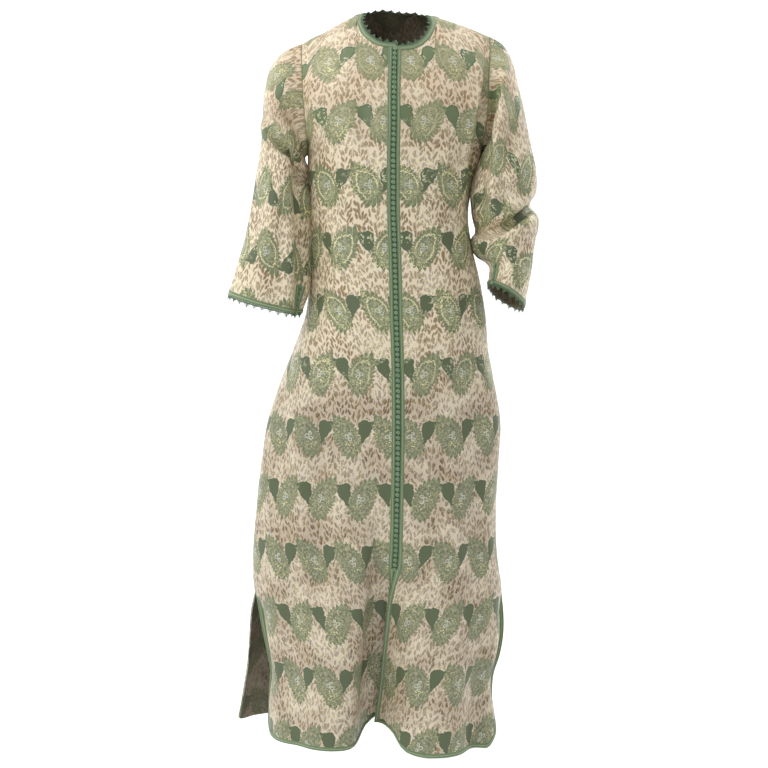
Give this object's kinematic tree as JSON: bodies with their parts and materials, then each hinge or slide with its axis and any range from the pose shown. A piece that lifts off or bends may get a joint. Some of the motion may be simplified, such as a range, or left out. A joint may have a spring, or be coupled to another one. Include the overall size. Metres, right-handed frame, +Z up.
{
  "type": "moroccan kaftan",
  "caption": "Long open-fronted kaftan in its hollow worn form, with wide sleeves, side slits, braided edges and a full row of small knots down the front",
  "frame": {"origin": "where the neck meets the shoulders: the middle of the neck opening at the height of the shoulder line, which is what hangs on the wearer", "axes": "+Z up along the body, the wearer's front towards -Y, the wearer's left towards +X"},
  "size_m": [0.593, 0.3583, 1.4085],
  "materials": {
    "brocade": "satin",
    "green_braid": "satin",
    "green_knots": "satin"
  },
  "bodies": {
    "root": {"front_right": "brocade", "front_left": "brocade", "back": "brocade", "sleeve_right": "brocade", "sleeve_left": "brocade", "neck_and_front_braid": "green_braid", "hem_braid_front_right": "green_braid", "hem_braid_front_left": "green_braid", "hem_braid_back": "green_braid", "slit_tack_right": "green_braid", "slit_tack_left": "green_braid", "cuff_braid_right": "green_braid", "cuff_braid_left": "green_braid", "neck_picot": "green_braid", "cuff_picot_right": "green_braid", "cuff_picot_left": "green_braid", "front_knots": "green_knots", "cuff_knots_right": "green_knots", "cuff_knots_left": "green_knots"}
  },
  "joints": []
}
